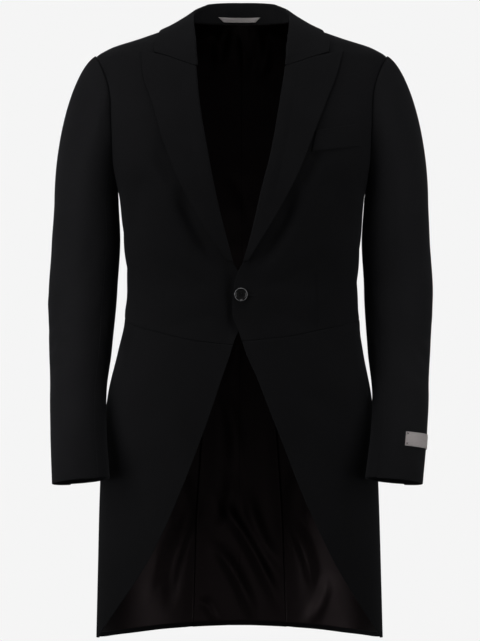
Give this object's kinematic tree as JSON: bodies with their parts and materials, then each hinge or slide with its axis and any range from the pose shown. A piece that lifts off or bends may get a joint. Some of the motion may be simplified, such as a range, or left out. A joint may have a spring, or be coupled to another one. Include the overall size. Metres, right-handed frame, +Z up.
{
  "type": "morning coat",
  "caption": "Black cutaway morning coat in its worn, hollow shape, with peak lapels, a waist seam, open sleeves and lined tails.",
  "frame": {"origin": "between the shoulders on the coat's middle plane, level with the collar's lower edge on the shoulders, where the wearer's shoulders hold the coat", "axes": "+X to the wearer's left, -Y out of the front, +Z up"},
  "size_m": [0.5954, 0.2876, 1.0045],
  "materials": {
    "black_wool": "matt black worsted wool with a fine weave",
    "satin_lining": "reddish black satin lining",
    "horn_button": "polished black horn-like button",
    "woven_label": "blank grey woven ribbon"
  },
  "bodies": {
    "root": {"back_left": "black_wool", "back_right": "black_wool", "chest_welt": "black_wool", "collar": "black_wool", "cuff_button_left_1": "horn_button", "cuff_button_left_2": "horn_button", "cuff_button_left_3": "horn_button", "cuff_button_left_4": "horn_button", "cuff_button_right_1": "horn_button", "cuff_button_right_2": "horn_button", "cuff_button_right_3": "horn_button", "cuff_button_right_4": "horn_button", "forepart_left": "black_wool", "forepart_right": "black_wool", "front_button": "horn_button", "lapel_left": "black_wool", "lapel_right": "black_wool", "lining_back_left": "satin_lining", "lining_back_right": "satin_lining", "lining_skirt_left": "satin_lining", "lining_skirt_right": "satin_lining", "neck_label": "woven_label", "side_body_left": "black_wool", "side_body_right": "black_wool", "skirt_left": "black_wool", "skirt_right": "black_wool", "sleeve_label": "woven_label", "top_sleeve_left": "black_wool", "top_sleeve_right": "black_wool", "under_sleeve_left": "black_wool", "under_sleeve_right": "black_wool", "vent_underlap": "black_wool", "waist_button_left": "horn_button", "waist_button_right": "horn_button"}
  },
  "joints": []
}
